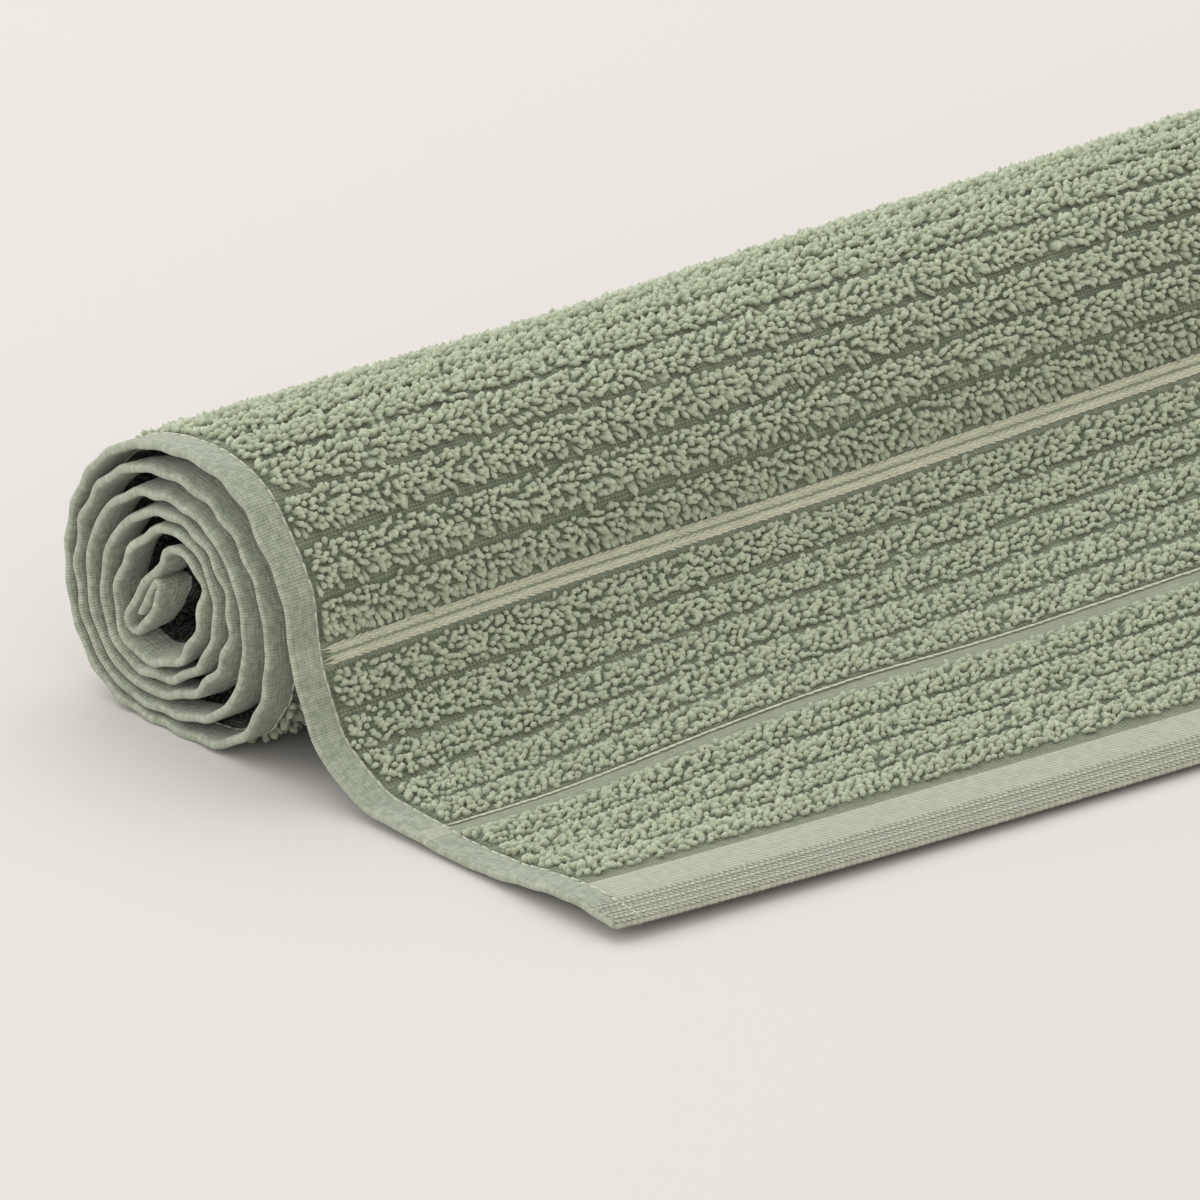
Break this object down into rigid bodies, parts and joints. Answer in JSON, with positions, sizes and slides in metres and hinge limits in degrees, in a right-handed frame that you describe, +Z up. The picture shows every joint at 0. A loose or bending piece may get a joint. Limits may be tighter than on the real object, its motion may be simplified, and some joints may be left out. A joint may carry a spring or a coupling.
{
  "type": "rolled face towel",
  "caption": "Sage-green ribbed terry face towel, rolled up from one end, with its loose end laid out flat beside the roll.",
  "frame": {"origin": "middle of the towel's outline on the surface that it rests on", "axes": "+Y along the roll, +X the way the loose end lies, +Z up"},
  "size_m": [0.155, 0.5, 0.0536],
  "materials": {
    "sage_terry": "matte cotton terry, sage green, with woven cream stripes"
  },
  "bodies": {
    "root": {"towel": "sage_terry"}
  },
  "joints": []
}
